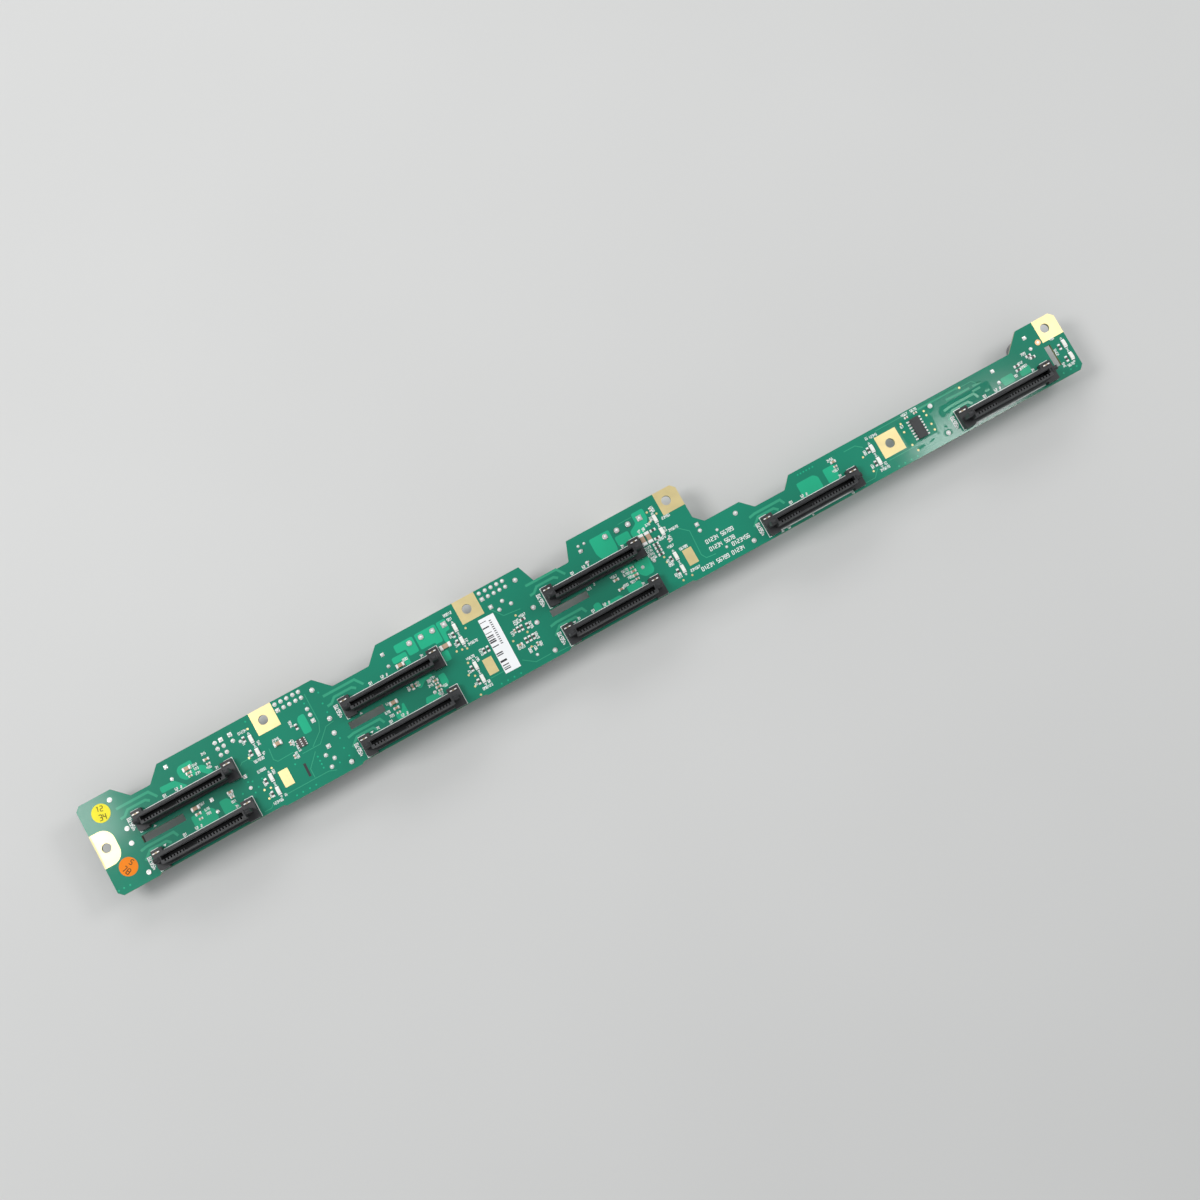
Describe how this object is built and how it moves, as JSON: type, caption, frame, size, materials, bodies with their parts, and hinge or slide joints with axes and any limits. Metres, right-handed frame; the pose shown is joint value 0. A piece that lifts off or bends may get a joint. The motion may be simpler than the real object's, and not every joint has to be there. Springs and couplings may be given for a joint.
{
  "type": "drive backplane board",
  "caption": "Long stepped circuit board with a row of drive sockets on one face and cable headers and capacitors on the other; it links plug-in drives to a server.",
  "frame": {"origin": "centre of the board's length and depth, on the plane on which the tall parts of the rear side stand", "axes": "+X along the board from the end with the half-round ground pad to the end with the raised corner tab; +Z out of the drive side"},
  "size_m": [0.4272, 0.038, 0.0261],
  "materials": {
    "solder_mask_board": "semi-gloss green solder mask",
    "gold_plating": "gold flash",
    "black_moulding": "matte",
    "white_moulding": "satin",
    "tinned_metal": "tin plated",
    "resistor_body": "glassy black top",
    "ceramic_tan": "satin",
    "fuse_body": "satin",
    "light_body": "milky lens",
    "chip_moulding": "matte",
    "label_yellow": "semi-gloss",
    "label_orange": "semi-gloss",
    "label_white": "semi-gloss",
    "can_sleeve": "sleeved can"
  },
  "bodies": {
    "root": {"bulk_capacitors": "can_sleeve", "capacitor_leads": "tinned_metal", "ceramic_capacitors": "ceramic_tan", "chip_fuses": "fuse_body", "chip_resistors": "resistor_body", "circuit_board": "solder_mask_board", "drive_socket_contacts_1": "gold_plating", "drive_socket_contacts_2": "gold_plating", "drive_socket_contacts_3": "gold_plating", "drive_socket_contacts_4": "gold_plating", "drive_socket_contacts_5": "gold_plating", "drive_socket_contacts_6": "gold_plating", "drive_socket_contacts_7": "gold_plating", "drive_socket_contacts_8": "gold_plating", "drive_socket_hold_downs_1": "tinned_metal", "drive_socket_hold_downs_2": "tinned_metal", "drive_socket_hold_downs_3": "tinned_metal", "drive_socket_hold_downs_4": "tinned_metal", "drive_socket_hold_downs_5": "tinned_metal", "drive_socket_hold_downs_6": "tinned_metal", "drive_socket_hold_downs_7": "tinned_metal", "drive_socket_hold_downs_8": "tinned_metal", "drive_socket_housing_1": "black_moulding", "drive_socket_housing_2": "black_moulding", "drive_socket_housing_3": "black_moulding", "drive_socket_housing_4": "black_moulding", "drive_socket_housing_5": "black_moulding", "drive_socket_housing_6": "black_moulding", "drive_socket_housing_7": "black_moulding", "drive_socket_housing_8": "black_moulding", "ground_pads": "gold_plating", "header_pins": "gold_plating", "inspection_dot_lower": "label_orange", "inspection_dot_upper": "label_yellow", "logic_chip_case": "chip_moulding", "logic_chip_leads": "tinned_metal", "pin_strips": "black_moulding", "power_header_1": "white_moulding", "power_header_2": "white_moulding", "power_header_pins": "tinned_metal", "resistor_networks": "resistor_body", "sensor_header_1": "white_moulding", "sensor_header_2": "white_moulding", "serial_label": "label_white", "signal_header_1": "black_moulding", "signal_header_2": "black_moulding", "signal_header_3": "black_moulding", "signal_header_4": "black_moulding", "signal_header_5": "black_moulding", "signal_header_6": "black_moulding", "signal_header_7": "black_moulding", "signal_header_8": "black_moulding", "signal_header_pegs": "tinned_metal", "status_lights": "light_body"}
  },
  "joints": []
}
